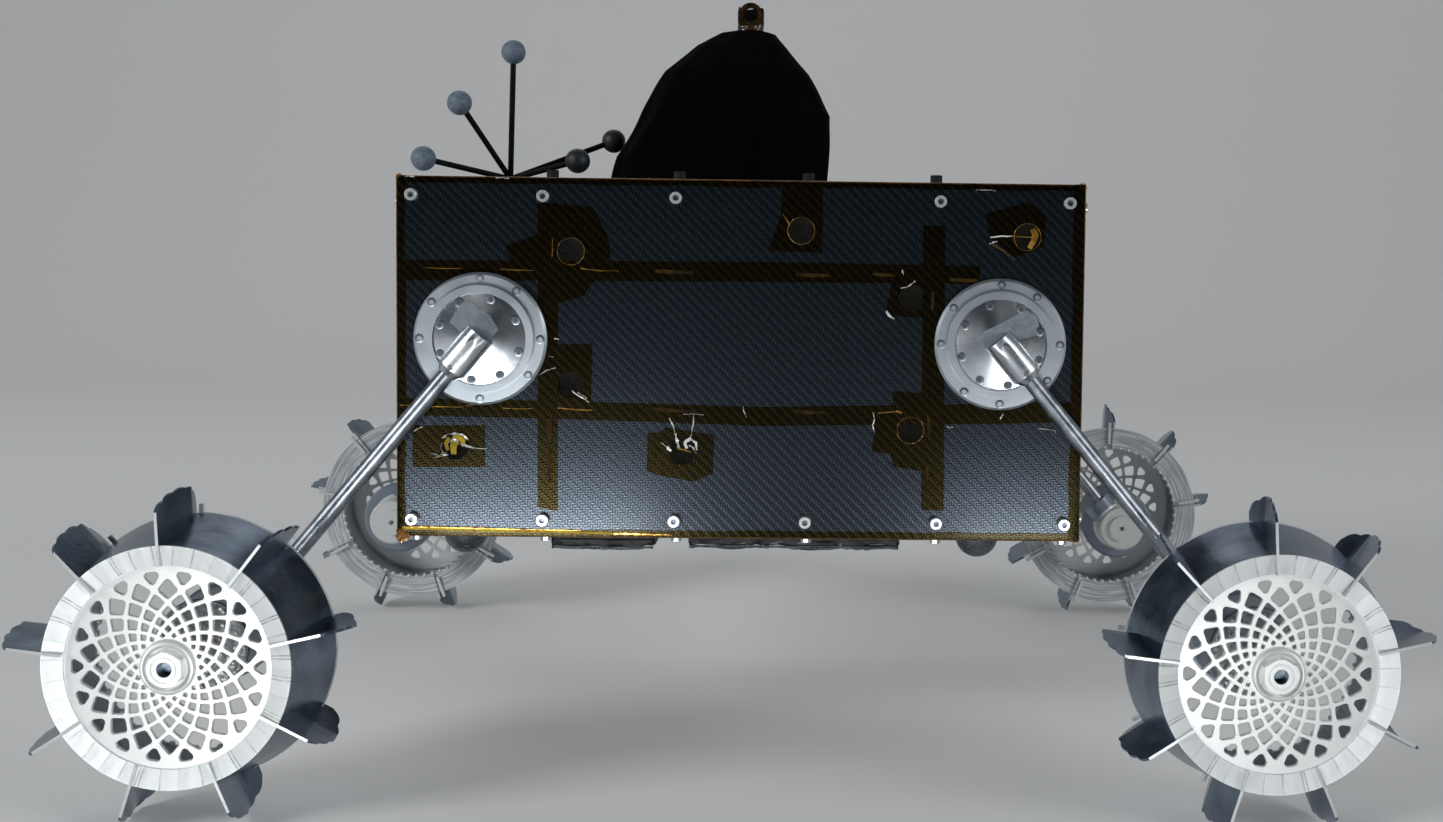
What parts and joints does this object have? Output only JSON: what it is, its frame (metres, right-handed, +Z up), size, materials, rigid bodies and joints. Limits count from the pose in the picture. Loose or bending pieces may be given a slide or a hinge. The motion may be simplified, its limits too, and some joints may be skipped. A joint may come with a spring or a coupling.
{
  "type": "four-legged planetary rover prototype",
  "caption": "Small planetary rover prototype: carbon-fibre box body on swinging legs with lattice wheels, scalloped blades and a black hood on the deck.",
  "frame": {"origin": "on the ground under the middle of the body, with the wheels resting on two blades each", "axes": "+X forward, +Y to the rover's left, +Z up"},
  "size_m": [0.77, 0.626, 0.4792],
  "materials": {
    "carbon_plate": "clear-coated 2x2 twill carbon fibre plate, satin gloss",
    "machined_aluminium": "bare machined aluminium, satin",
    "polished_aluminium": "bare aluminium, turned and polished",
    "polished_steel": "polished steel tube",
    "equipment": "closed battery and electronics boxes, plain",
    "dusty_plastic": "dark plastic under pale dust",
    "dark_plastic": "black moulded plastic, matt",
    "frosted_plastic": "frosted pale plastic with dust",
    "black_rod": "black carbon rod and foot, matt",
    "reflective_grey": "grey retro-reflective cover, fine grain",
    "black_fabric": "black woven cloth, matt"
  },
  "bodies": {
    "chassis": {"side_panel_left": "carbon_plate", "side_panel_right": "carbon_plate", "nose_panel": "carbon_plate", "tail_panel": "carbon_plate", "deck_panel": "carbon_plate", "belly_panel": "carbon_plate", "corner_frame": "machined_aluminium", "equipment_block": "equipment", "belly_feet": "dusty_plastic", "belly_slab": "dark_plastic", "belly_tray": "frosted_plastic", "marker_stand": "black_rod", "marker_balls": "reflective_grey", "mast": "machined_aluminium", "fabric_hood": "black_fabric", "cable_gland": "dark_plastic", "shoulder_flange_front_left": "machined_aluminium", "shoulder_flange_front_right": "machined_aluminium", "shoulder_flange_rear_left": "machined_aluminium", "shoulder_flange_rear_right": "machined_aluminium"},
    "leg_front_left": {"shoulder_cap_front_left": "polished_aluminium", "leg_tube_front_left": "polished_steel", "wheel_drive_front_left": "machined_aluminium"},
    "wheel_front_left": {"wheel_rim_front_left": "polished_aluminium", "wheel_spokes_front_left": "machined_aluminium", "wheel_axle_front_left": "machined_aluminium"},
    "leg_front_right": {"shoulder_cap_front_right": "polished_aluminium", "leg_tube_front_right": "polished_steel", "wheel_drive_front_right": "machined_aluminium"},
    "wheel_front_right": {"wheel_rim_front_right": "polished_aluminium", "wheel_spokes_front_right": "machined_aluminium", "wheel_axle_front_right": "machined_aluminium"},
    "leg_rear_left": {"shoulder_cap_rear_left": "polished_aluminium", "leg_tube_rear_left": "polished_steel", "wheel_drive_rear_left": "machined_aluminium"},
    "wheel_rear_left": {"wheel_rim_rear_left": "polished_aluminium", "wheel_spokes_rear_left": "machined_aluminium", "wheel_axle_rear_left": "machined_aluminium"},
    "leg_rear_right": {"shoulder_cap_rear_right": "polished_aluminium", "leg_tube_rear_right": "polished_steel", "wheel_drive_rear_right": "machined_aluminium"},
    "wheel_rear_right": {"wheel_rim_rear_right": "polished_aluminium", "wheel_spokes_rear_right": "machined_aluminium", "wheel_axle_rear_right": "machined_aluminium"}
  },
  "joints": [
    {"name": "shoulder_front_left", "type": "hinge", "parent": "chassis", "child": "leg_front_left", "pos_m": [0.155, 0.175, 0.25519], "axis": [0, -1, 0], "range_deg": [-50, 140]},
    {"name": "wheel_spin_front_left", "type": "hinge", "parent": "leg_front_left", "child": "wheel_front_left", "pos_m": [0.294, 0.254, 0.08719], "axis": [0, 1, 0], "continuous": true},
    {"name": "shoulder_front_right", "type": "hinge", "parent": "chassis", "child": "leg_front_right", "pos_m": [0.155, -0.175, 0.25519], "axis": [0, -1, 0], "range_deg": [-50, 140]},
    {"name": "wheel_spin_front_right", "type": "hinge", "parent": "leg_front_right", "child": "wheel_front_right", "pos_m": [0.294, -0.254, 0.08719], "axis": [0, 1, 0], "continuous": true},
    {"name": "shoulder_rear_left", "type": "hinge", "parent": "chassis", "child": "leg_rear_left", "pos_m": [-0.155, 0.175, 0.25519], "axis": [0, 1, 0], "range_deg": [-50, 140]},
    {"name": "wheel_spin_rear_left", "type": "hinge", "parent": "leg_rear_left", "child": "wheel_rear_left", "pos_m": [-0.294, 0.254, 0.08719], "axis": [0, 1, 0], "continuous": true},
    {"name": "shoulder_rear_right", "type": "hinge", "parent": "chassis", "child": "leg_rear_right", "pos_m": [-0.155, -0.175, 0.25519], "axis": [0, 1, 0], "range_deg": [-50, 140]},
    {"name": "wheel_spin_rear_right", "type": "hinge", "parent": "leg_rear_right", "child": "wheel_rear_right", "pos_m": [-0.294, -0.254, 0.08719], "axis": [0, 1, 0], "continuous": true}
  ]
}
